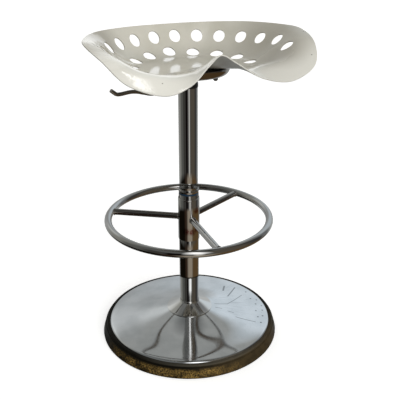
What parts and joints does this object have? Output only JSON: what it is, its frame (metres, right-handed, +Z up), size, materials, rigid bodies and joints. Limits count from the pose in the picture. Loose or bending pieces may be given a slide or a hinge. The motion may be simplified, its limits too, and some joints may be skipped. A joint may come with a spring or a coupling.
{
  "type": "bar stool",
  "caption": "Bar stool with a pierced, dished metal seat on a round column that turns and lifts by a side lever, a foot ring on spokes and a heavy round base.",
  "frame": {"origin": "on the floor under the column's axis, at the centre of the round base", "axes": "+Z up along the column; -Y the way the sitter faces; the height lever towards -X, the sitter's right"},
  "size_m": [0.4544, 0.4, 0.6806],
  "materials": {
    "ivory_paint": "gloss",
    "chrome_plate": "polished",
    "polished_steel": "polished",
    "bare_steel": "satin",
    "cast_iron": "matte",
    "black_plastic": "satin",
    "blue_plastic": "satin",
    "aged_rubber": "satin",
    "grey_felt": "matte"
  },
  "bodies": {
    "base": {"base_pad": "grey_felt", "base_weight": "cast_iron", "base_skirt": "aged_rubber", "base_cover": "polished_steel", "column_rosette": "chrome_plate", "tube_flange": "bare_steel", "flange_bolt_1": "bare_steel", "flange_bolt_2": "bare_steel", "flange_bolt_3": "bare_steel", "flange_bolt_4": "bare_steel", "lower_tube": "chrome_plate", "guide_ring": "blue_plastic", "mouth_ring": "chrome_plate", "rod_carrier": "bare_steel", "thrust_washer_lower": "bare_steel", "foot_sleeve": "chrome_plate", "foot_ring": "chrome_plate", "foot_spoke_1": "chrome_plate", "foot_spoke_2": "chrome_plate", "foot_spoke_3": "chrome_plate", "foot_screw": "bare_steel"},
    "rod": {"piston_rod": "bare_steel", "piston": "black_plastic", "thrust_washer_upper": "bare_steel", "rod_clip": "bare_steel"},
    "column": {"gas_cylinder": "bare_steel", "rod_gland": "black_plastic", "cylinder_spacer_1": "black_plastic", "cylinder_spacer_2": "black_plastic", "upper_tube": "chrome_plate", "seat_hub": "black_plastic", "lever_pin": "bare_steel", "seat_plate": "bare_steel", "seat_housing": "chrome_plate", "housing_spacer_1": "bare_steel", "housing_spacer_2": "bare_steel", "housing_spacer_3": "bare_steel", "housing_spacer_4": "bare_steel", "seat_washer_1": "bare_steel", "seat_washer_2": "bare_steel", "seat_washer_3": "bare_steel", "seat_washer_4": "bare_steel", "seat_nut_1": "bare_steel", "seat_nut_2": "bare_steel", "seat_nut_3": "bare_steel", "seat_nut_4": "bare_steel", "seat_bolt_1": "bare_steel", "seat_bolt_2": "bare_steel", "seat_bolt_3": "bare_steel", "seat_bolt_4": "bare_steel", "seat_pan": "ivory_paint"},
    "lever": {"height_lever": "chrome_plate"},
    "release_pin": {"release_pin": "bare_steel"}
  },
  "joints": [
    {"name": "seat_swivel", "type": "hinge", "parent": "base", "child": "rod", "pos_m": [0, 0, 0.04], "axis": [0, 0, 1], "continuous": true},
    {"name": "seat_height", "type": "slide", "parent": "rod", "child": "column", "axis": [0, 0, 1], "range_m": [-0.16, 0.04]},
    {"name": "lever_pivot", "type": "hinge", "parent": "column", "child": "lever", "pos_m": [-0.0128, -0.00226, 0.587], "axis": [-0.1736, 0.9848, 0], "range_deg": [0, 10], "stiffness_Nm_per_rad": 0.5, "springref_deg": -11.46},
    {"name": "release_press", "type": "slide", "parent": "column", "child": "release_pin", "axis": [0, 0, -1], "range_m": [0, 0.0025]}
  ],
  "couplings": [
    {"joint": "release_press", "follows": "lever_pivot", "m_per_rad": 0.014}
  ]
}
